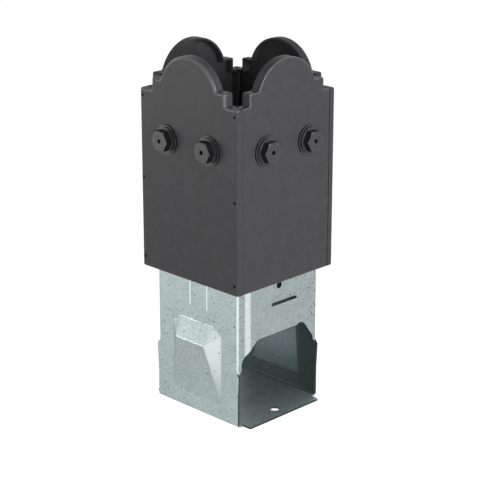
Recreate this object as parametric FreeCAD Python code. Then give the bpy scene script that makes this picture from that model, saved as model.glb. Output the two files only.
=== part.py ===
import FreeCAD, Part
import math
import os

V = FreeCAD.Vector

# Millimetres. The origin is the middle of the base plate's underside, +Z is up,
# and the front, with the lapped sheet edge, faces -Y.

# Timber post and the galvanised sheet folded round it
POST_WIDTH = 139.7
POST_PLAY = 0.85
SHEET = 2.7
CORNER_BEND = 2.0
FOOT_BEND = 2.3
JOGGLE_BEND = 2.0
SLEEVE = POST_WIDTH / 2 + POST_PLAY + SHEET
WALL_MID = SLEEVE - SHEET / 2

# Lap on the front, turned half a turn for the back
LAP_GAP = 0.2
LAP_CORNER = 20.4
LAP_JOGGLE_RUN = 7.0
LAP_FREE_END = 33.6
LAP_STEP_END = -15.2
INNER_END_GAP = 3.0
LAP_JOGGLE = SLEEVE - LAP_CORNER
LAP_MID = WALL_MID + SHEET + LAP_GAP
LAP_FACE = SLEEVE + SHEET + LAP_GAP

# Timber screws: their height, and the sleeve's steel above them
BOLT_HEIGHT = 362.2
BOLT_HALF_SPACING = 37.85
BOLT_EDGE = 31.3
SLEEVE_TOP = BOLT_HEIGHT + BOLT_EDGE

# Cover of four trays round the sleeve
COVER_ROOM = 10.85
COVER_WALL = 2.5
COVER_LOW = 185.0
COVER_RETURN = 9.2
COVER_SEAM_GAP = 0.6
COVER_BACK_GAP = 0.05
COVER_LIFT = 0.2
LEDGE_RISE = 27.5
LEDGE_STEP = 16.0
LEDGE_WIDTH = 21.75
CREST_FOOT = 13.5
EDGE_ROUND = 1.3
STEP_ROUND = 2.2
CORNER_ROUND = 3.5
COVER_HALF = SLEEVE + COVER_ROOM + COVER_WALL
COVER_BACK = SLEEVE + COVER_BACK_GAP
COVER_FLANGE = COVER_HALF - COVER_BACK
COVER_SEAM = COVER_HALF - COVER_RETURN - COVER_SEAM_GAP
LEDGE_LOW = SLEEVE_TOP + LEDGE_RISE
LEDGE_HIGH = LEDGE_LOW + LEDGE_STEP
LEDGE_HALF = COVER_HALF - LEDGE_WIDTH
CREST_RADIUS = LEDGE_HALF - CREST_FOOT

# Base plate and its two anchor holes
PLATE_SIDE_INSET = 9.6
PLATE_BEYOND = 0.15
PLATE_CORNER = 2.0
ANCHOR_HOLE = 12.7
ANCHOR_INSET = 4.8
PLATE_HALF_WIDTH = SLEEVE - PLATE_SIDE_INSET
PLATE_REACH = COVER_HALF + PLATE_BEYOND
ANCHOR_SPACING = 2 * (SLEEVE - ANCHOR_INSET)

# Feet of the side plates, with a sloping shoulder at each corner, lower at a face's left
FOOT_OUT_LOW = 0.6
FOOT_OUT_HIGH = 2.3
FOOT_LEAN_LOW = 41.0
FOOT_TOP = 75.4
FOOT_DROP = 5.9
FOOT_SHOULDER = 8.5
FOOT_EDGE_LOW = SLEEVE + FOOT_OUT_LOW
FOOT_EDGE_HIGH = SLEEVE + FOOT_OUT_HIGH
FOOT_TOP_LEFT = FOOT_TOP - FOOT_DROP
FOOT_END = FOOT_TOP + FOOT_SHOULDER
BEND_START = SLEEVE - SHEET - CORNER_BEND

# Arched opening: its sides, shoulders and flat top, and the slant that ends each corner bend
ARCH_SIDE = 7.2
ARCH_SPRING_RISE = 7.4
ARCH_RELIEF = 9.0
ARCH_LEG_LEFT = 12.1
ARCH_LEG_RIGHT = 4.2
ARCH_SLANT_LEFT = 26.2
ARCH_SLANT_RIGHT = 19.2
ARCH_RISE = 37.8
ARCH_ROUND = 12.0
ARCH_HALF_WIDTH = SLEEVE - ARCH_SIDE
ARCH_SPRING_LEFT = FOOT_TOP_LEFT + ARCH_SPRING_RISE
ARCH_SPRING_RIGHT = FOOT_TOP + ARCH_SPRING_RISE
ARCH_SHOULDER_LEFT = ARCH_SPRING_LEFT + ARCH_LEG_LEFT
ARCH_SHOULDER_RIGHT = ARCH_SPRING_RIGHT + ARCH_LEG_RIGHT
ARCH_CREST_LEFT = ARCH_HALF_WIDTH - ARCH_SLANT_LEFT
ARCH_CREST_RIGHT = ARCH_HALF_WIDTH - ARCH_SLANT_RIGHT
ARCH_TOP = FOOT_TOP + ARCH_RISE

# Seat tab cut from the inner layer and bent inwards to carry the post
SEAT_RISE = 40.2
SEAT_LEFT = -13.5
SEAT_RIGHT = 33.0
SEAT_REACH = 26.0
SEAT_BEND = 0.6
SEAT_SLIT = 0.05
SEAT_HEIGHT = ARCH_TOP + SEAT_RISE
SEAT_EDGE = SEAT_HEIGHT - SHEET
LAP_EDGE = SEAT_EDGE - SEAT_SLIT

# Round hole above the seat
WIRE_HOLE = 9.5
WIRE_HOLE_X = 1.4
WIRE_HOLE_RISE = 22.1
WIRE_HOLE_Z = SEAT_HEIGHT + WIRE_HOLE_RISE

# Pressed boss on each side plate
BOSS_OUT = 13.2
BOSS_LOW = 23.5
BOSS_HIGH = 126.5
BOSS_BROW = 24.5
BOSS_CHAMFER = 11.0
BOSS_HALF = 44.0
BOSS_CREST_HALF = 29.0
BOSS_RIDGE_HALF = 25.0
BOSS_ROUND = 4.0
BOSS_ROOT = 2.5
BOSS_RIDGE = BOSS_HIGH - BOSS_BROW
BOSS_CHEEK = BOSS_HIGH - BOSS_CHAMFER

# Two slender beads above each boss
BEAD_RADIUS = 2.2
BEAD_DEPTH = 0.6
BEAD_HALF_SPACING = 15.4
BEAD_MIDDLE = -2.4
BEAD_FOOT = 19.9
BEAD_HEAD = 62.2
BEAD_LOW = BOSS_HIGH + BEAD_FOOT
BEAD_HIGH = BOLT_HEIGHT - BEAD_HEAD

# Hexagon-headed washers and the timber screws through them
WASHER_DISC = 38.1
WASHER_DISC_THICK = 2.2
WASHER_RING = 33.5
WASHER_RING_THICK = 2.2
HEX_FLATS = 25.0
HEX_THICK = 8.9
HEX_CHAMFER = 1.0
SCREW_LENGTH = 50.8
SCREW_SHANK = 5.6
SCREW_POINT = 8.0
SCREW_HEAD = 13.8
SCREW_HEAD_THICK = 5.5
SCREW_SINK = 0.1
SCREW_DRIVE = 2.6
SCREW_DRIVE_LOBE = 0.75
SCREW_DRIVE_DEPTH = 4.6
HEAD_PLAY = 0.15
SHANK_PLAY = 0.4
WASHER_TOP = COVER_HALF + WASHER_DISC_THICK + WASHER_RING_THICK + HEX_THICK
SCREW_TOP = WASHER_TOP - SCREW_SINK
HEAD_SEAT = SCREW_TOP - SCREW_HEAD_THICK

# Small screws that hold the trays together at the corners
TRIM_INSET = 5.2
TRIM_FOOT = 13.1
TRIM_BELOW_LEDGE = 9.2
TRIM_ROWS = 3
TRIM_HEAD = 3.8
TRIM_HEAD_THICK = 1.0
TRIM_SINK = 0.4
TRIM_SHANK = 2.2
TRIM_REACH = 12.2
TRIM_DRIVE = 0.8
TRIM_DRIVE_DEPTH = 0.6
TRIM_PLAY = 0.2
TRIM_TOP = COVER_HALF - TRIM_SINK
TRIM_SEAT = TRIM_TOP - TRIM_HEAD_THICK
TRIM_Y = COVER_HALF - TRIM_INSET
TRIM_FIRST = COVER_LOW + TRIM_FOOT
TRIM_PITCH = (LEDGE_LOW - TRIM_BELOW_LEDGE - TRIM_FIRST) / (TRIM_ROWS - 1)

SIDES = {"left": 0, "front": 90, "right": 180, "back": 270}
PAIR = {"1": -1, "2": 1}


def plan(x, y):
    return V(x, y, 0)


def elevation(x, z):
    return V(x, 0, z)


def side_view(y, z):
    return V(0, y, z)


def unit(vector):
    return vector / vector.Length


def face(points, radii):
    """Flat face through the points; each corner is an arc of its own radius, or sharp at 0."""
    corners = []
    count = len(points)
    for i, corner in enumerate(points):
        back = unit(points[i - 1] - corner)
        ahead = unit(points[(i + 1) % count] - corner)
        radius = radii[i]
        if radius == 0:
            corners.append((corner, corner, corner))
            continue
        half = back.getAngle(ahead) / 2
        reach = radius / math.tan(half)
        inward = unit(back + ahead)
        middle = corner + inward * (radius / math.sin(half) - radius)
        corners.append((corner + back * reach, middle, corner + ahead * reach))
    edges = []
    for i, (start, middle, end) in enumerate(corners):
        before = corners[i - 1][2]
        if (start - before).Length > 1e-6:
            edges.append(Part.makeLine(before, start))
        if radii[i] > 0:
            edges.append(Part.Arc(start, middle, end).toShape())
    return Part.Face(Part.Wire(edges))


def folded(path, bends, normal, length):
    """Bent sheet: its middle line in straight runs, the inside radius of each bend, extruded."""
    left = []
    right = []
    left_radii = []
    right_radii = []
    axis = unit(normal)
    last = len(path) - 1
    for i, point in enumerate(path):
        before = unit(point - path[i - 1]) if i > 0 else unit(path[1] - point)
        after = unit(path[i + 1] - point) if i < last else before
        mitre = unit(axis.cross(before) + axis.cross(after))
        offset = mitre * (SHEET / 2 / mitre.dot(axis.cross(after)))
        left.append(point + offset)
        right.append(point - offset)
        turn = axis.dot(before.cross(after))
        bend = bends[i - 1] if 0 < i < last else 0
        if abs(turn) < 1e-9:
            bend = 0
        grown = bend + SHEET if bend > 0 else 0
        left_radii.append(bend if turn > 0 else grown)
        right_radii.append(grown if turn > 0 else bend)
    outline = left + right[::-1]
    radii = left_radii + right_radii[::-1]
    return face(outline, radii).extrude(axis * length)


def turned(shape, degrees):
    """Copy of a shape turned about the upright axis."""
    copy = shape.copy()
    copy.rotate(V(0, 0, 0), V(0, 0, 1), degrees)
    return copy


def both_ways(shape):
    """The shape and its copy half a turn round."""
    return [shape, turned(shape, 180)]


def block(x0, x1, y0, y1, z0, z1):
    return Part.makeBox(x1 - x0, y1 - y0, z1 - z0, V(x0, y0, z0))


def rod(radius, outer, inner, y, z):
    """Cylinder on the left side, from one distance outside the middle to another."""
    return Part.makeCylinder(radius, outer - inner, V(-outer, y, z), V(1, 0, 0))


def feet():
    """Base plate with its two upright sides, and their sloping shoulders at the corners."""
    path = [elevation(-WALL_MID, FOOT_END), elevation(-WALL_MID, SHEET / 2),
            elevation(WALL_MID, SHEET / 2), elevation(WALL_MID, FOOT_END)]
    reach = FOOT_EDGE_HIGH
    trough = folded(path, [FOOT_BEND, FOOT_BEND], V(0, -1, 0), 2 * reach)
    trough.translate(V(0, reach, 0))
    right = [side_view(-FOOT_EDGE_LOW, 0), side_view(FOOT_EDGE_LOW, 0),
             side_view(FOOT_EDGE_LOW, FOOT_LEAN_LOW), side_view(reach, FOOT_TOP_LEFT),
             side_view(BEND_START, FOOT_TOP_LEFT + FOOT_SHOULDER), side_view(BEND_START, FOOT_END),
             side_view(-BEND_START, FOOT_END), side_view(-reach, FOOT_TOP),
             side_view(-FOOT_EDGE_LOW, FOOT_LEAN_LOW)]
    trim = face(right, [0] * len(right)).extrude(V(SLEEVE, 0, 0))
    trim = trim.fuse(turned(trim, 180))
    corners = [plan(-PLATE_HALF_WIDTH, -PLATE_REACH), plan(PLATE_HALF_WIDTH, -PLATE_REACH),
               plan(PLATE_HALF_WIDTH, PLATE_REACH), plan(-PLATE_HALF_WIDTH, PLATE_REACH)]
    plate = face(corners, [PLATE_CORNER] * len(corners)).extrude(V(0, 0, SHEET))
    return trough.common(trim).fuse(plate)


def wrap():
    """Left half of the sleeve: lap, joggle, side and the inner layer round the back."""
    joggle = -LAP_JOGGLE
    path = [plan(LAP_FREE_END, -LAP_MID), plan(joggle, -LAP_MID),
            plan(joggle - LAP_JOGGLE_RUN, -WALL_MID), plan(-WALL_MID, -WALL_MID),
            plan(-WALL_MID, WALL_MID), plan(LAP_JOGGLE - INNER_END_GAP, WALL_MID)]
    bends = [JOGGLE_BEND, JOGGLE_BEND, CORNER_BEND, CORNER_BEND]
    shell = folded(path, bends, V(0, 0, 1), SLEEVE_TOP - FOOT_TOP_LEFT)
    shell.translate(V(0, 0, FOOT_TOP_LEFT))
    step = block(LAP_STEP_END, LAP_FREE_END + SHEET, -LAP_FACE - SHEET, -SLEEVE - LAP_GAP / 2,
                 LAP_EDGE, SLEEVE_TOP + SHEET)
    return shell.cut(step)


def arch():
    """Cutter for the front opening, with the slants that end the corner bends."""
    wide = ARCH_HALF_WIDTH + ARCH_RELIEF
    low = ARCH_SPRING_LEFT - ARCH_RELIEF
    points = [elevation(-wide, low), elevation(wide, low),
              elevation(wide, ARCH_SPRING_RIGHT - ARCH_RELIEF),
              elevation(ARCH_HALF_WIDTH, ARCH_SPRING_RIGHT),
              elevation(ARCH_HALF_WIDTH, ARCH_SHOULDER_RIGHT),
              elevation(ARCH_CREST_RIGHT, ARCH_TOP), elevation(-ARCH_CREST_LEFT, ARCH_TOP),
              elevation(-ARCH_HALF_WIDTH, ARCH_SHOULDER_LEFT),
              elevation(-ARCH_HALF_WIDTH, ARCH_SPRING_LEFT)]
    radii = [0, 0, 0, 0, ARCH_ROUND, ARCH_ROUND, ARCH_ROUND, ARCH_ROUND, 0]
    inner = BEND_START
    outer = LAP_FACE + SHEET
    cutter = face(points, radii).extrude(V(0, outer - inner, 0))
    cutter.translate(V(0, -outer, 0))
    return cutter


def seat_window():
    """Window left in the front inner layer where the seat tab was cut free."""
    return block(SEAT_LEFT, SEAT_RIGHT, -SLEEVE, -SLEEVE + SHEET,
                 SEAT_HEIGHT - SEAT_REACH, SEAT_HEIGHT + SEAT_BEND)


def seat_tab():
    """Tab bent inwards at the top of that window."""
    path = [side_view(-WALL_MID, SEAT_HEIGHT + SEAT_BEND), side_view(-WALL_MID, SEAT_EDGE + SHEET / 2),
            side_view(-SLEEVE + SEAT_REACH, SEAT_EDGE + SHEET / 2)]
    tab = folded(path, [SEAT_BEND], V(1, 0, 0), SEAT_RIGHT - SEAT_LEFT)
    tab.translate(V(SEAT_LEFT, 0, 0))
    return tab


def beyond(a, b, c, inset):
    """Thick slab past the plane of three points, which run anticlockwise seen from outside."""
    size = 4 * BOSS_HIGH
    normal = unit((b - a).cross(c - a))
    along = unit(b - a)
    across = normal.cross(along)
    centre = a - normal * inset
    corners = [centre + along * s + across * t for s, t in
               ((-size, -size), (size, -size), (size, size), (-size, size))]
    return face(corners, [0] * len(corners)).extrude(normal * size)


def boss(swell):
    """Faceted boss on the left plate: a core inside the facets, swollen by a rounding radius."""
    def at(out, y, z):
        return V(-SLEEVE - out, y, z)

    core = block(-SLEEVE - 2 * BOSS_OUT, -SLEEVE + 2 * BOSS_OUT, -2 * BOSS_HALF, 2 * BOSS_HALF,
                 BOSS_LOW - BOSS_HALF, BOSS_HIGH + BOSS_HALF)
    near = at(BOSS_OUT, -BOSS_RIDGE_HALF, BOSS_RIDGE)
    far = at(BOSS_OUT, BOSS_RIDGE_HALF, BOSS_RIDGE)
    facets = [(near, far, at(0, 0, BOSS_LOW)),
              (far, near, at(0, 0, BOSS_HIGH)),
              (near, at(0, -BOSS_HALF, BOSS_LOW), at(0, -BOSS_HALF, BOSS_HIGH)),
              (far, at(0, BOSS_HALF, BOSS_HIGH), at(0, BOSS_HALF, BOSS_LOW)),
              (near, at(0, -BOSS_HALF, BOSS_CHEEK), at(0, -BOSS_CREST_HALF, BOSS_HIGH)),
              (far, at(0, BOSS_CREST_HALF, BOSS_HIGH), at(0, BOSS_HALF, BOSS_CHEEK))]
    for facet in facets:
        core = core.cut(beyond(*facet, BOSS_ROUND))
    return core.makeOffsetShape(swell, 0.001, join=0)


def outside(depth):
    """Room outside the left plate's face, and to a depth behind it."""
    return block(-2 * SLEEVE, -SLEEVE + depth, -SLEEVE, SLEEVE, 0, SLEEVE_TOP)


def root_edges(shape):
    """Edges round the foot of the boss, on the left plate's face."""
    found = []
    for edge in shape.Edges:
        box = edge.BoundBox
        flat = abs(box.XMin + SLEEVE) < 1e-3 and abs(box.XMax + SLEEVE) < 1e-3
        near = box.ZMin > BOSS_LOW - SHEET and box.ZMax < BOSS_HIGH + SHEET
        if flat and near and max(abs(box.YMin), abs(box.YMax)) < BOSS_HALF + SHEET:
            found.append(edge)
    return found


def bead(middle, shift):
    """Slender bead with a round lower end, moved inwards by the given shift."""
    x = -SLEEVE + BEAD_DEPTH + shift
    pin = Part.makeCylinder(BEAD_RADIUS, BEAD_HIGH - BEAD_LOW, V(x, middle, BEAD_LOW))
    low = Part.makeSphere(BEAD_RADIUS, V(x, middle, BEAD_LOW))
    high = Part.makeSphere(BEAD_RADIUS, V(x, middle, BEAD_HIGH))
    return pin.fuse([low, high])


def screw_holes(radius, depth):
    """Cutters for the timber screws through one side, from outside to the given depth."""
    return [rod(radius, 2 * COVER_HALF, depth, sign * BOLT_HALF_SPACING, BOLT_HEIGHT)
            for sign in PAIR.values()]


def sleeve():
    """The whole base, folded from one galvanised sheet."""
    half = wrap()
    middles = [BEAD_MIDDLE - BEAD_HALF_SPACING, BEAD_MIDDLE + BEAD_HALF_SPACING]
    side = half.fuse([bead(y, 0).common(outside(SHEET / 2)) for y in middles])
    side = side.cut([bead(y, SHEET) for y in middles] + both_ways(arch()))
    body = feet().fuse(both_ways(side))
    body = body.cut(both_ways(seat_window()))
    body = body.fuse(both_ways(seat_tab()))
    body = body.removeSplitter()
    body = body.fuse(both_ways(boss(BOSS_ROUND).common(outside(SHEET / 2))))
    body = body.removeSplitter()
    for turn in (0, 180):
        body = turned(body, turn)
        body = body.makeFillet(BOSS_ROOT, root_edges(body))
        body = body.cut(boss(BOSS_ROUND - SHEET).common(outside(SHEET + CORNER_BEND)))
        body = turned(body, -turn)
    holes = []
    for turn in SIDES.values():
        for hole in screw_holes((SCREW_SHANK + SHANK_PLAY) / 2, 0):
            holes.append(turned(hole, turn))
    wire = Part.makeCylinder(WIRE_HOLE / 2, SLEEVE, V(WIRE_HOLE_X, -2 * COVER_HALF + SLEEVE, WIRE_HOLE_Z),
                             V(0, 1, 0))
    holes += both_ways(wire)
    anchor = Part.makeCylinder(ANCHOR_HOLE / 2, 2 * SHEET, V(0, -ANCHOR_SPACING / 2, -SHEET / 2))
    holes += both_ways(anchor)
    return body.cut(holes)


def tray_profile(half, inset):
    """Outline of a cover tray: two ledges each side of a round crest."""
    radius = CREST_RADIUS - inset
    spring = LEDGE_HIGH - inset
    meet = math.sqrt(radius ** 2 - (spring - LEDGE_LOW) ** 2)
    x = half - inset
    ledge = LEDGE_HALF - inset
    low = COVER_LOW + inset
    points = [side_view(meet, spring), side_view(ledge, spring),
              side_view(ledge, LEDGE_LOW - inset), side_view(x, LEDGE_LOW - inset),
              side_view(x, low), side_view(-x, low), side_view(-x, LEDGE_LOW - inset),
              side_view(-ledge, LEDGE_LOW - inset), side_view(-ledge, spring),
              side_view(-meet, spring)]
    edges = [Part.makeLine(a, b) for a, b in zip(points, points[1:])]
    crest = Part.Arc(points[-1], side_view(0, LEDGE_LOW + radius), points[0])
    edges.append(crest.toShape())
    return Part.Face(Part.Wire(edges))


def step_edges(shape):
    """Edges that run inwards from the steps and corners of a tray's outline."""
    found = []
    for edge in shape.Edges:
        box = edge.BoundBox
        if box.XLength > COVER_FLANGE / 2 and box.ZMin > LEDGE_LOW - COVER_WALL:
            found.append(edge)
    return found


def front_edges(shape):
    """Edges round the outer face of a tray."""
    return [edge for edge in shape.Edges
            if edge.BoundBox.XMin < -COVER_HALF + 1e-3 and edge.BoundBox.XLength < 1e-3]


def tray(half, corner):
    """Cover tray on the left side: a face with a flange all round."""
    body = tray_profile(half, 0).extrude(V(COVER_FLANGE, 0, 0))
    body.translate(V(-COVER_HALF, 0, 0))
    body = body.makeFillet(STEP_ROUND, step_edges(body))
    if corner > EDGE_ROUND:
        upright = [edge for edge in front_edges(body)
                   if abs(abs(edge.BoundBox.YMin) - half) < 1e-3 and edge.BoundBox.YLength < 1e-3]
        body = body.makeFillet(corner, upright)
    body = body.makeFillet(EDGE_ROUND, front_edges(body))
    hollow = tray_profile(half, COVER_WALL).extrude(V(COVER_FLANGE, 0, 0))
    hollow.translate(V(-COVER_HALF + COVER_WALL, 0, 0))
    body = body.cut(hollow)
    low = block(-LAP_FACE - COVER_LIFT, 0, -COVER_HALF, COVER_HALF, 0, COVER_LOW + 2 * COVER_WALL)
    return body.cut([low] + screw_holes((SCREW_SHANK + SHANK_PLAY) / 2, 0))


def trim_spots():
    """Places of the small corner screws on the left side."""
    spots = []
    for sign in PAIR.values():
        for row in range(TRIM_ROWS):
            spots.append((sign * TRIM_Y, TRIM_FIRST + row * TRIM_PITCH))
    return spots


def side_tray():
    """Left cover tray, the full width, with its returns round both corners."""
    body = tray(COVER_HALF, CORNER_ROUND)
    back = COVER_HALF - COVER_RETURN
    edge = COVER_BACK - COVER_SEAM_GAP
    for sign in PAIR.values():
        corner = block(-back, 0, edge, 2 * COVER_HALF, 0, 2 * SLEEVE_TOP)
        if sign < 0:
            corner.translate(V(0, -edge - 2 * COVER_HALF, 0))
        body = body.cut(corner)
    for y, z in trim_spots():
        sink = rod(TRIM_HEAD / 2 + TRIM_PLAY, 2 * COVER_HALF, TRIM_SEAT, y, z)
        hole = rod(TRIM_SHANK / 2 + TRIM_PLAY, 2 * COVER_HALF, COVER_SEAM, y, z)
        body = body.cut([sink, hole])
    return body


def end_tray():
    """Tray of the front or back, between the side trays, as it stands on the left."""
    body = tray(COVER_SEAM, EDGE_ROUND)
    holes = []
    for y, z in trim_spots():
        for sign in PAIR.values():
            hole = Part.makeCylinder(TRIM_SHANK / 2, 2 * COVER_WALL, V(-TRIM_Y, 0, z), V(0, sign, 0))
            hole.translate(V(0, sign * (COVER_SEAM - 1.5 * COVER_WALL), 0))
            holes.append(hole)
    return body.cut(holes)


def hex_washer(y):
    """Hexagon-headed washer on the left side, one turned piece."""
    x = -COVER_HALF
    disc = rod(WASHER_DISC / 2, COVER_HALF + WASHER_DISC_THICK, COVER_HALF, y, BOLT_HEIGHT)
    base = WASHER_TOP - HEX_THICK
    ring = rod(WASHER_RING / 2, base, COVER_HALF + WASHER_DISC_THICK, y, BOLT_HEIGHT)
    corner = HEX_FLATS / math.sqrt(3)
    points = [V(-base, y + corner * math.cos(math.radians(60 * i)),
                BOLT_HEIGHT + corner * math.sin(math.radians(60 * i))) for i in range(6)]
    head = face(points, [0] * 6).extrude(V(-HEX_THICK, 0, 0))
    shoulder = WASHER_TOP - HEX_CHAMFER
    straight = rod(corner, shoulder, base, y, BOLT_HEIGHT)
    slope = Part.makeCone(corner, HEX_FLATS / 2, HEX_CHAMFER, V(-shoulder, y, BOLT_HEIGHT), V(-1, 0, 0))
    head = head.common(straight.fuse(slope))
    body = disc.fuse([ring, head]).removeSplitter()
    sink = rod(SCREW_HEAD / 2 + HEAD_PLAY, WASHER_TOP + HEX_THICK, HEAD_SEAT, y, BOLT_HEIGHT)
    hole = rod((SCREW_SHANK + SHANK_PLAY) / 2, WASHER_TOP, 0, y, BOLT_HEIGHT)
    return body.cut([sink, hole])


def timber_screw(y):
    """Timber screw with a low round head and a six-lobe drive."""
    z = BOLT_HEIGHT
    tip = SCREW_TOP - SCREW_LENGTH
    head = rod(SCREW_HEAD / 2, SCREW_TOP, HEAD_SEAT, y, z)
    shank = rod(SCREW_SHANK / 2, HEAD_SEAT, tip + SCREW_POINT, y, z)
    point = Part.makeCone(SCREW_SHANK / 2, 0, SCREW_POINT, V(-tip - SCREW_POINT, y, z), V(1, 0, 0))
    floor = SCREW_TOP - SCREW_DRIVE_DEPTH
    drive = [rod(SCREW_DRIVE, SCREW_TOP, floor, y, z)]
    for i in range(6):
        angle = math.radians(60 * i)
        drive.append(rod(SCREW_DRIVE_LOBE, SCREW_TOP, floor, y + SCREW_DRIVE * math.cos(angle),
                         z + SCREW_DRIVE * math.sin(angle)))
    return head.fuse([shank, point]).removeSplitter().cut(drive)


def trim_screw(y, z):
    """Small screw through a side tray into the flange of the end tray."""
    head = rod(TRIM_HEAD / 2, TRIM_TOP, TRIM_SEAT, y, z)
    shank = rod(TRIM_SHANK / 2, TRIM_SEAT, COVER_HALF - TRIM_REACH, y, z)
    drive = rod(TRIM_DRIVE, TRIM_TOP, TRIM_TOP - TRIM_DRIVE_DEPTH, y, z)
    return head.fuse(shank).cut(drive)


def save(shape, name):
    shape.exportStep("parts/" + name + ".step")


def build():
    os.makedirs("parts", exist_ok=True)
    save(sleeve(), "folded_base")
    trays = {"left": side_tray(), "right": side_tray(), "front": end_tray(), "back": end_tray()}
    for side, body in trays.items():
        save(turned(body, SIDES[side]), "cover_" + side)
    for side, turn in SIDES.items():
        for label, sign in PAIR.items():
            y = sign * BOLT_HALF_SPACING
            save(turned(hex_washer(y), turn), "hex_washer_" + side + "_" + label)
            save(turned(timber_screw(y), turn), "timber_screw_" + side + "_" + label)
    for side in ("left", "right"):
        for number, (y, z) in enumerate(trim_spots(), 1):
            save(turned(trim_screw(y, z), SIDES[side]), "trim_screw_" + side + "_" + str(number))


build()
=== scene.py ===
import math

import bpy
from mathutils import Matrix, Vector


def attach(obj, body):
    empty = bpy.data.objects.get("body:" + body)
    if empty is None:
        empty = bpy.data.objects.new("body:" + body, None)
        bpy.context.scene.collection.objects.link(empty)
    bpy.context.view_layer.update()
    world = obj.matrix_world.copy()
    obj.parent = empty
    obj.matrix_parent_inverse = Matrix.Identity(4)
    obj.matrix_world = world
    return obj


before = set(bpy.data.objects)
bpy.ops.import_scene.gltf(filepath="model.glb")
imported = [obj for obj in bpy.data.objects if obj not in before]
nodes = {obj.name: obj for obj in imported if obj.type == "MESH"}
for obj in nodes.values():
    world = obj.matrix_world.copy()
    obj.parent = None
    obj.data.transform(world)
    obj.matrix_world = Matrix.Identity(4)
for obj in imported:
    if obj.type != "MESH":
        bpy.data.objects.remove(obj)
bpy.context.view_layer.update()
scene = bpy.context.scene
MM = 0.001

# The folded base: one blank of 2.7 mm hot-dip galvanised steel, pierced, pressed with its bosses
# and beads, and folded round the post with a lap at the front and back. Its zinc stops at the
# sheared edges. Bend crowns, joggles, beads and boss flanks carry a painted highlight, the plate's
# top a painted light towards its ends, and the inside a darker, duller zinc as painted shade.


def linear(code):
    """Linear RGBA of an sRGB hex colour."""
    parts = [int(code[i:i + 2], 16) / 255 for i in (1, 3, 5)]
    return [c / 12.92 if c <= 0.04045 else ((c + 0.055) / 1.055) ** 2.4 for c in parts] + [1.0]


def add(tree, kind, inputs=(), **settings):
    """Adds a node with its settings; inputs pairs a socket's name with a value or another socket."""
    node = tree.nodes.new(kind)
    for name, value in settings.items():
        setattr(node, name, value)
    for name, value in inputs:
        if isinstance(value, bpy.types.NodeSocket):
            tree.links.new(value, node.inputs[name])
        else:
            node.inputs[name].default_value = value
    return node


def blank_material(name):
    """Material with an empty node tree, and the object's own coordinates in it."""
    material = bpy.data.materials.new(name)
    material.use_nodes = True
    material.node_tree.nodes.clear()
    place = add(material.node_tree, "ShaderNodeTexCoord").outputs["Object"]
    return material, material.node_tree, place


def ramp(tree, factor, *stops):
    """Colour ramp over a factor, from pairs of position and hex colour."""
    node = add(tree, "ShaderNodeValToRGB", [("Fac", factor)])
    elements = node.color_ramp.elements
    while len(elements) < len(stops):
        elements.new(0.5)
    for element, (position, code) in zip(elements, stops):
        element.position = position
        element.color = linear(code)
    return node.outputs["Color"]


def specks(tree, place, cell_mm, most_mm, share):
    """Mask of round specks, each of its own size, in the given share of the cells."""
    cells = add(tree, "ShaderNodeTexVoronoi", [("Vector", place), ("Scale", 1 / (cell_mm * MM))])
    pick = add(tree, "ShaderNodeSeparateColor", [("Color", cells.outputs["Color"])])
    size = add(tree, "ShaderNodeMapRange", [("Value", pick.outputs["Green"]), ("From Min", 1 - share),
                                            ("To Min", 0.0), ("To Max", most_mm / cell_mm)])
    depth = add(tree, "ShaderNodeMath", [(0, size.outputs["Result"]), (1, cells.outputs["Distance"])],
                operation="SUBTRACT")
    mask = add(tree, "ShaderNodeMapRange", [("Value", depth.outputs["Value"]),
                                            ("From Max", 0.3 * most_mm / cell_mm)])
    return mask.outputs["Result"]


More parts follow.
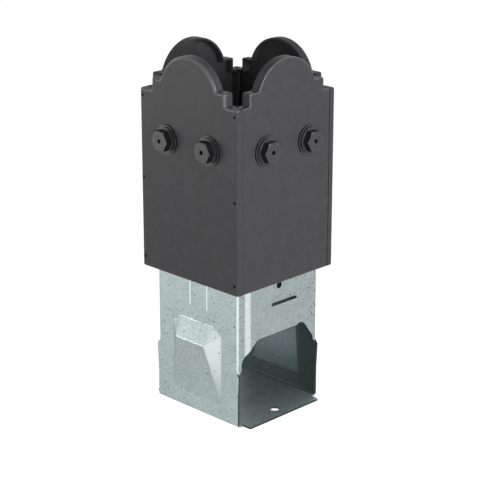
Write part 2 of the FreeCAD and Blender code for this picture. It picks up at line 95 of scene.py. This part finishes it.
def galvanised_steel(name, roughness, zinc_codes, speck_code, painted_light=None):
    """Hot-dip zinc: a rough metal with a fine grain, a small spangle and sparse dark specks.

    The last argument paints a brighter colour on as light or a highlight: the colour, the axis that it grows
    along, and where it starts and ends in mm.
    """
    material, tree, place = blank_material(name)
    grain_mm, spangle_mm, cloud_mm = 1.5, 2.4, 26
    grain = add(tree, "ShaderNodeTexNoise", [("Vector", place), ("Scale", 1 / (grain_mm * MM)),
                                             ("Detail", 2.0), ("Roughness", 0.6)])
    spangle = add(tree, "ShaderNodeTexVoronoi", [("Vector", place), ("Scale", 1 / (spangle_mm * MM))])
    shade = add(tree, "ShaderNodeSeparateColor", [("Color", spangle.outputs["Color"])])
    fine = add(tree, "ShaderNodeMix", [("Factor", 0.3), ("A", grain.outputs["Fac"]),
                                       ("B", shade.outputs["Red"])], data_type="FLOAT")
    cloud = add(tree, "ShaderNodeTexNoise", [("Vector", place), ("Scale", 1 / (cloud_mm * MM)),
                                             ("Detail", 3.0)])
    mottle = add(tree, "ShaderNodeMix", [("Factor", 0.25), ("A", fine.outputs["Result"]),
                                         ("B", cloud.outputs["Fac"])], data_type="FLOAT")
    dull, middle, bright = zinc_codes
    zinc = ramp(tree, mottle.outputs["Result"], (0.3, dull), (0.5, middle), (0.7, bright))
    if painted_light:
        code, axis, from_mm, to_mm = painted_light
        most_painted_light = 0.92
        along = add(tree, "ShaderNodeSeparateXYZ", [("Vector", place)]).outputs[axis]
        along = add(tree, "ShaderNodeMath", [(0, along)], operation="ABSOLUTE").outputs["Value"]
        painted_light_share = add(tree, "ShaderNodeMapRange", [("Value", along), ("From Min", from_mm * MM),
                                                ("From Max", to_mm * MM), ("To Max", most_painted_light)])
        zinc = add(tree, "ShaderNodeMix", [("Factor", painted_light_share.outputs["Result"]), ("A", zinc),
                                           ("B", linear(code))], data_type="RGBA").outputs["Result"]
    large = specks(tree, place, cell_mm=5.2, most_mm=1.4, share=0.7)
    small = specks(tree, place, cell_mm=2.8, most_mm=0.8, share=0.5)
    dark = add(tree, "ShaderNodeMath", [(0, large), (1, small)], operation="MAXIMUM")
    dark = add(tree, "ShaderNodeMath", [(0, dark.outputs["Value"]), (1, 0.95)], operation="MULTIPLY")
    colour = add(tree, "ShaderNodeMix", [("Factor", dark.outputs["Value"]), ("A", zinc),
                                         ("B", linear(speck_code))], data_type="RGBA")
    spread = 0.07
    gloss = add(tree, "ShaderNodeMapRange", [("Value", mottle.outputs["Result"]),
                                             ("To Min", roughness + spread), ("To Max", roughness - spread)])
    bump = add(tree, "ShaderNodeBump", [("Height", mottle.outputs["Result"]), ("Strength", 0.1),
                                        ("Distance", 0.15 * MM)])
    metal = add(tree, "ShaderNodeBsdfPrincipled",
                [("Base Color", colour.outputs["Result"]), ("Metallic", 1.0),
                 ("Roughness", gloss.outputs["Result"]), ("Normal", bump.outputs["Normal"])])
    add(tree, "ShaderNodeOutputMaterial", [("Surface", metal.outputs["BSDF"])])
    return material


def sheared_steel():
    """Bare cut edge of the sheet: dull dark steel with a vertical drag from the blade."""
    material, tree, place = blank_material("sheared_steel")
    drag_mm = 1.2
    drag = add(tree, "ShaderNodeTexNoise", [("Vector", place), ("Scale", 1 / (drag_mm * MM))])
    colour = ramp(tree, drag.outputs["Fac"], (0.3, "#39424a"), (0.7, "#4b5658"))
    metal = add(tree, "ShaderNodeBsdfPrincipled",
                [("Base Color", colour), ("Metallic", 1.0), ("Roughness", 0.5)])
    add(tree, "ShaderNodeOutputMaterial", [("Surface", metal.outputs["BSDF"])])
    return material


def is_cut(centre, normal):
    """Whether a face of the base is a cut edge of its sheet, from its centre in mm and its normal."""
    x, y, z = abs(centre.x), abs(centre.y), centre.z
    across, along, up = (abs(part) for part in normal)
    plate_top, seat_low, seat_high, sleeve_top = 2.8, 150, 157, 393.4
    if z < plate_top:
        return up < 0.2 and (y > 76 or x < 10)
    if x > 70.6 and y > 70.75 and z < 84:
        foot_edge = along > 0.9
        foot_shoulder = along > 0.3 and up > 0.3
        return normal.y * centre.y > 0 and (foot_edge or foot_shoulder)
    if x < 73.4 and y > 68.7 and z > 69:
        arch_edge = x < 70.5
        bend_end = up > 0.3
        return along < 0.2 and (arch_edge or bend_end)
    if seat_low < z < seat_high:
        seat_end = along > 0.9 and y < 50
        return across > 0.9 or seat_end
    return z > sleeve_top


def is_inside(centre, normal):
    """Whether a face of the base's walls looks inwards, to the sleeve's axis; centre in mm."""
    plate_top, well_inwards = 2.8, -20
    return centre.z > plate_top and normal.x * centre.x + normal.y * centre.y < well_inwards


def is_hollow(centre, normal):
    """Whether an inner face is the bottom of a boss's hollow, and not its flank; centre in mm."""
    wall_inside = 71.0
    return is_inside(centre, normal) and abs(centre.x) > wall_inside and abs(normal.y) < 0.3


def is_painted_highlight(centre, normal):
    """Whether a face gets a painted highlight: a bend's crown, a joggle, a bead or a boss's flank."""
    x, y, z = abs(centre.x), abs(centre.y), centre.z
    across, along = abs(normal.x), abs(normal.y)
    side_face, boss_top = 73.45, 127
    if x > side_face and y < 62:
        bead = z > boss_top and along > 0.25
        flank = z <= boss_top and normal.y * centre.x > 0.2 * x
        return bead or flank
    crown = x > 68 and y > 68 and 0.4 < across < 0.92 and 0.4 < along < 0.92
    joggle = 45 < x < 62 and 73.3 < y < 76.4 and across > 0.12 and along > 0.5
    return crown or joggle


def on_plate(centre, normal):
    """Whether a face is the base plate's top; centre in mm."""
    plate_top = 2.8
    return centre.z < plate_top and normal.z > 0.9


zinc_outside = ("#9ba9a9", "#aab7b7", "#bbc6c6")
# The inside zinc is far darker than the outside: painted shade.
zinc_painted_shade_inside = ("#454d4d", "#4c5555", "#555d5d")
base = nodes["folded_base"].data
base.materials.clear()
base.materials.append(galvanised_steel("galvanised_steel", 0.43, zinc_outside, "#4c5959"))
base.materials.append(sheared_steel())
base.materials.append(galvanised_steel("duller_zinc_with_painted_shade_inside", 0.6, zinc_painted_shade_inside, "#2f3636"))
# Bent and pressed faces get a paler zinc that brightens upwards: a painted highlight.
base.materials.append(galvanised_steel("zinc_with_painted_highlight", 0.38, zinc_outside, "#7d8b8b",
                                       painted_light=("#dbe4e4", "Z", 30, 88)))
# The plate's top grows paler towards its front and back ends: painted light.
base.materials.append(galvanised_steel("zinc_with_painted_light_on_plate_ends", 0.5, zinc_outside, "#4c5959",
                                       painted_light=("#e6f6f4", "Y", 22, 84)))
# The boss hollows are dark as painted shade and grow lighter upwards as painted light.
base.materials.append(galvanised_steel("duller_zinc_with_painted_shade_and_light_in_boss_hollows", 0.6, zinc_painted_shade_inside, "#3e4747",
                                       painted_light=("#6f7c7e", "Z", 20, 62)))
# Each facet takes the first finish whose test it passes: painted shade inside, painted highlight on bent and
# pressed faces, painted light on the plate's top.
tests = ((1, is_cut), (5, is_hollow), (2, is_inside), (3, is_painted_highlight), (4, on_plate))
for facet in base.polygons:
    for number, test in tests:
        if test(facet.center / MM, facet.normal):
            facet.material_index = number
            break

# The trim cover: four pressed steel trays, the side ones lapping round the corners, all with a
# matt black powder coat. The coat has a faint orange peel and a soft unevenness in its tone; on
# the rounded rims of the tops it is glossier and paler, the paler colour a painted highlight.


def powder_coat(name, code, roughness, unevenness_mm, shine=0.3):
    """Powder coat: a matt polymer film with a low, wide sheen and a faint orange peel."""
    material, tree, place = blank_material(name)
    cloud = add(tree, "ShaderNodeTexNoise", [("Vector", place), ("Scale", 1 / (unevenness_mm * MM)),
                                             ("Detail", 4.0), ("Roughness", 0.55)])
    tone = add(tree, "ShaderNodeMapRange", [("Value", cloud.outputs["Fac"]), ("From Min", 0.3),
                                            ("From Max", 0.7), ("To Min", 0.93), ("To Max", 1.07)])
    colour = add(tree, "ShaderNodeVectorMath", [(0, linear(code)[:3]), ("Scale", tone.outputs["Result"])],
                 operation="SCALE")
    peel_mm = 1.6
    peel = add(tree, "ShaderNodeTexNoise", [("Vector", place), ("Scale", 1 / (peel_mm * MM)),
                                            ("Detail", 2.0)])
    bump = add(tree, "ShaderNodeBump", [("Height", peel.outputs["Fac"]), ("Strength", 0.15),
                                        ("Distance", 0.1 * MM)])
    film = add(tree, "ShaderNodeBsdfPrincipled",
               [("Base Color", colour.outputs["Vector"]), ("Roughness", roughness),
                ("Specular IOR Level", shine), ("Normal", bump.outputs["Normal"])])
    add(tree, "ShaderNodeOutputMaterial", [("Surface", film.outputs["BSDF"])])
    return material


def dress(name, material):
    """Gives a CAD node its finish."""
    mesh = nodes[name].data
    mesh.materials.clear()
    mesh.materials.append(material)


cover_coat = powder_coat("black_powder_coat", "#4d4c4e", 0.42, 14.0, 0.12)
rim_coat_painted_highlight = powder_coat("paler_coat_with_painted_highlight_on_rims", "#636264", 0.3, 14.0, 0.6)
ledge_height = 420 * MM
for side, axis in (("left", 0), ("front", 1), ("right", 0), ("back", 1)):
    dress("cover_" + side, cover_coat)
    tray = nodes["cover_" + side].data
    tray.materials.append(rim_coat_painted_highlight)
    for facet in tray.polygons:
        # Rounded rim facets, but not the corner rounds below the ledge, take the paler coat: a painted
        # highlight.
        corner = facet.center.z < ledge_height and abs(facet.normal.z) < 0.1
        rounded = 0.15 < abs(facet.normal[axis]) < 0.985
        facet.material_index = int(rounded and not corner)

# The fasteners: hexagon-headed washers, the timber screws sunk in them and the small corner
# screws, all steel with a thin satin black coat. The faces that look outwards show the coat's own
# tone; the flanks and the screws' sockets are darker with painted shade, and the small screws are black.
flank_coat_painted_shade = powder_coat("black_coat_with_painted_shade_on_flanks", "#1f1f21", 0.36, 6.0, 0.2)
face_coat = powder_coat("satin_black_coat_on_faces", "#484749", 0.36, 6.0)
trim_coat = powder_coat("black_oxide_on_small_screws", "#09090a", 0.4, 6.0, 0.05)
for name in nodes:
    if name.startswith(("hex_washer", "timber_screw")):
        dress(name, flank_coat_painted_shade)
        head = nodes[name].data
        head.materials.append(face_coat)
        axis = 0 if "left" in name or "right" in name else 1
        # Outward faces outside the sockets take the coat's own tone; flanks and sockets keep the darker coat
        # as painted shade.
        for facet in head.polygons:
            out = abs(facet.center[axis]) / MM
            shown = out > 87 and abs(facet.normal[axis]) > 0.6
            in_socket = 94 < out < 97
            facet.material_index = int(shown and not in_socket)
    elif name.startswith("trim_screw"):
        dress(name, trim_coat)

# The screw threads: a sharp coarse ridge rolled on each timber screw's shank and point, in the
# flanks' darker coat, whose darkness is painted shade. The solid shank is plain, so the ridge is a piece of
# its own round it.


def thread(name, sign, turn):
    """Helical ridge on one timber screw, from its point back to the inside of the sleeve."""
    pitch, steps = 2.6 * MM, 20
    tip, taper, lead_in, start = 49.15 * MM, 8.0 * MM, 0.8 * MM, 69.0 * MM
    shank, ridge, foot, bury = 2.8 * MM, 0.65 * MM, 0.55 * MM, 0.1 * MM
    half_spacing, height = 37.85 * MM, 362.2 * MM
    turns = (start - tip - lead_in) / pitch
    count = int(turns * steps)
    points = []
    for i in range(count + 1):
        out = tip + lead_in + i * pitch / steps
        radius = shank * min(1.0, (out - tip) / taper)
        fade = min(1.0, i / steps, (count - i) / steps)
        angle = 2 * math.pi * i / steps
        for shift, rise in ((-foot, -bury), (0, ridge * fade), (foot, -bury)):
            r = max(radius + rise, bury)
            points.append(Vector((-(out + shift), sign * half_spacing + r * math.cos(angle),
                                  height + r * math.sin(angle))))
    faces = []
    for i in range(count):
        a, b = 3 * i, 3 * i + 3
        faces += [(a, a + 1, b + 1, b), (a + 1, a + 2, b + 2, b + 1), (a + 2, a, b, b + 2)]
    faces += [(2, 1, 0), (3 * count, 3 * count + 1, 3 * count + 2)]
    mesh = bpy.data.meshes.new(name)
    mesh.from_pydata(points, [], faces)
    mesh.materials.append(flank_coat_painted_shade)
    piece = bpy.data.objects.new(name, mesh)
    piece.rotation_euler.z = math.radians(turn)
    scene.collection.objects.link(piece)
    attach(piece, "root")


for turn, side in ((0, "left"), (90, "front"), (180, "right"), (270, "back")):
    for sign, label in ((-1, "1"), (1, "2")):
        thread("thread_" + side + "_" + label, sign, turn)

# The stage: a plain white floor that keeps a soft shadow and the white surround of a studio, with
# a broad soft lamp low behind the camera, one low at the left and a near one high at the right.


def level_seen(tree, direct, mirrored, other):
    """Strength that the camera's rays, the mirrored or refracted rays and the other rays meet."""
    path = add(tree, "ShaderNodeLightPath")
    bounced = add(tree, "ShaderNodeMath", [(0, path.outputs["Is Glossy Ray"]),
                                           (1, path.outputs["Is Transmission Ray"])], operation="MAXIMUM")
    level = add(tree, "ShaderNodeMix", [("Factor", bounced.outputs["Value"]), ("A", other), ("B", mirrored)],
                data_type="FLOAT")
    return add(tree, "ShaderNodeMix", [("Factor", path.outputs["Is Camera Ray"]),
                                       ("A", level.outputs["Result"]), ("B", direct)],
               data_type="FLOAT").outputs["Result"]


def studio_floor():
    """Pale floor, white to the eye, that darkens a little in the object's shadow."""
    reach = 6.0
    mesh = bpy.data.meshes.new("floor")
    mesh.from_pydata([(-reach, -reach, 0), (reach, -reach, 0), (reach, reach, 0), (-reach, reach, 0)],
                     [], [(0, 1, 2, 3)])
    floor = bpy.data.objects.new("floor", mesh)
    scene.collection.objects.link(floor)
    material, tree, _ = blank_material("white_floor")
    glow = level_seen(tree, 0.92, 0.6, 0.0)
    paint = add(tree, "ShaderNodeBsdfPrincipled",
                [("Base Color", linear("#c8c8c8")), ("Roughness", 0.9), ("Specular IOR Level", 0.0),
                 ("Emission Color", linear("#ffffff")), ("Emission Strength", glow)])
    add(tree, "ShaderNodeOutputMaterial", [("Surface", paint.outputs["BSDF"])])
    mesh.materials.append(material)


def studio_world():
    """White where it is seen or mirrored, but dim overhead, and a plain soft light elsewhere."""
    world = bpy.data.worlds.new("studio")
    scene.world = world
    world.use_nodes = True
    tree = world.node_tree
    tree.nodes.clear()
    bearing = add(tree, "ShaderNodeTexCoord").outputs["Generated"]
    direction = add(tree, "ShaderNodeSeparateXYZ", [("Vector", bearing)])
    overhead = add(tree, "ShaderNodeMapRange", [("Value", direction.outputs["Z"]), ("From Min", 0.35),
                                                ("From Max", 0.9), ("To Min", 0.95), ("To Max", 0.15)])
    dim = overhead.outputs["Result"]
    soft = add(tree, "ShaderNodeMath", [(0, dim), (1, 0.3)], operation="MULTIPLY").outputs["Value"]
    shown = level_seen(tree, 1.0, dim, soft)
    white = add(tree, "ShaderNodeBackground", [("Color", linear("#ffffff")), ("Strength", shown)])
    add(tree, "ShaderNodeOutputWorld", [("Surface", white.outputs["Background"])])


def soft_box(name, azimuth, elevation, distance, size, power):
    """Rectangular lamp that faces the object's middle from a bearing and a height."""
    lamp = bpy.data.lights.new(name, "AREA")
    lamp.shape = "RECTANGLE"
    lamp.size, lamp.size_y = size
    lamp.energy = power
    holder = bpy.data.objects.new(name, lamp)
    scene.collection.objects.link(holder)
    a, e = math.radians(azimuth), math.radians(elevation)
    away = Vector((math.sin(a) * math.cos(e), -math.cos(a) * math.cos(e), math.sin(e)))
    middle = Vector((0, 0, 0.25))
    holder.location = middle + away * distance
    holder.rotation_euler = (-away).to_track_quat("-Z", "Y").to_euler()


studio_floor()
studio_world()
soft_box("key", -45, 6, 2.6, (1.4, 0.8), 24)
soft_box("left_soft", -136, -2, 2.0, (0.9, 0.4), 9)
soft_box("right_soft", 0, 27, 1.1, (0.7, 0.5), 5.8)

# The camera: the photograph's bearing from a little further back, pitched down at the object.
lens = bpy.data.cameras.new("camera")
lens.sensor_width = 36
lens.lens = 122.5575
lens.shift_y = -0.05
lens.clip_end = 30
camera = bpy.data.objects.new("camera", lens)
scene.collection.objects.link(camera)
bearing, turned, pitched = math.radians(-44.905), math.radians(-44.994), math.radians(17.84)
distance, height = 2.0, 0.8945
camera.location = (math.sin(bearing) * distance, -math.cos(bearing) * distance, height)
camera.rotation_euler = (math.pi / 2 - pitched, 0, turned)
scene.camera = camera
scene.view_settings.view_transform = "Standard"
